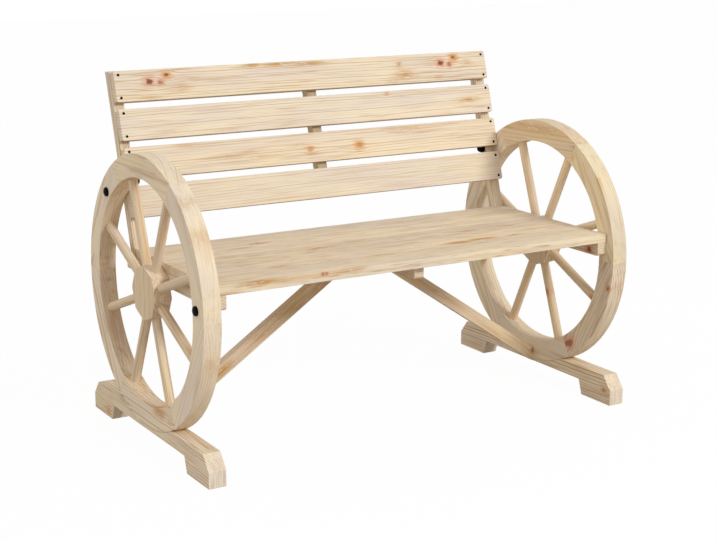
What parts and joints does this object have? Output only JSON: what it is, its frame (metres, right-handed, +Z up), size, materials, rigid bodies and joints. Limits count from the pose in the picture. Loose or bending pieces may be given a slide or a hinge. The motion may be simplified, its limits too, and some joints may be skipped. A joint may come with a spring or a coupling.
{
  "type": "wagon wheel bench",
  "caption": "Two-seat garden bench of pale softwood with a slatted back, a plank seat and a spoked wagon wheel standing in an arched runner at each end",
  "frame": {"origin": "on the floor, under the middle of the bench and the line between the two hubs", "axes": "+X along the bench, to the right as seen from the front; +Y to the back; +Z up"},
  "size_m": [1.074, 0.6, 0.7743],
  "materials": {
    "board_wood": "planed, unfinished",
    "wheel_wood": "sawn and sanded, unfinished",
    "frame_wood": "planed, unfinished",
    "dowel_wood": "turned, unfinished",
    "bolt_steel": "black coated, satin",
    "screw_steel": "black coated, satin"
  },
  "bodies": {
    "root": {"back_batten": "frame_wood", "back_slat_1": "board_wood", "back_slat_2": "board_wood", "back_slat_3": "board_wood", "back_slat_4": "board_wood", "batten_screws": "screw_steel", "brace_dowels": "dowel_wood", "centre_bearer": "frame_wood", "felloe_dowels": "dowel_wood", "front_bolts": "bolt_steel", "left_bearer": "frame_wood", "left_brace": "frame_wood", "left_felloe_1": "wheel_wood", "left_felloe_2": "wheel_wood", "left_felloe_3": "wheel_wood", "left_felloe_4": "wheel_wood", "left_felloe_5": "wheel_wood", "left_felloe_6": "wheel_wood", "left_hub": "wheel_wood", "left_post": "frame_wood", "left_runner": "frame_wood", "left_spoke_1": "dowel_wood", "left_spoke_2": "dowel_wood", "left_spoke_3": "dowel_wood", "left_spoke_4": "dowel_wood", "left_spoke_5": "dowel_wood", "left_spoke_6": "dowel_wood", "left_spoke_7": "dowel_wood", "left_spoke_8": "dowel_wood", "post_bolts": "bolt_steel", "post_screws": "screw_steel", "rear_bolts": "bolt_steel", "right_bearer": "frame_wood", "right_brace": "frame_wood", "right_felloe_1": "wheel_wood", "right_felloe_2": "wheel_wood", "right_felloe_3": "wheel_wood", "right_felloe_4": "wheel_wood", "right_felloe_5": "wheel_wood", "right_felloe_6": "wheel_wood", "right_hub": "wheel_wood", "right_post": "frame_wood", "right_runner": "frame_wood", "right_spoke_1": "dowel_wood", "right_spoke_2": "dowel_wood", "right_spoke_3": "dowel_wood", "right_spoke_4": "dowel_wood", "right_spoke_5": "dowel_wood", "right_spoke_6": "dowel_wood", "right_spoke_7": "dowel_wood", "right_spoke_8": "dowel_wood", "runner_screws": "screw_steel", "seat_board_front": "board_wood", "seat_board_middle": "board_wood", "seat_board_rear": "board_wood", "seat_screws": "screw_steel", "slat_screws": "screw_steel"}
  },
  "joints": []
}
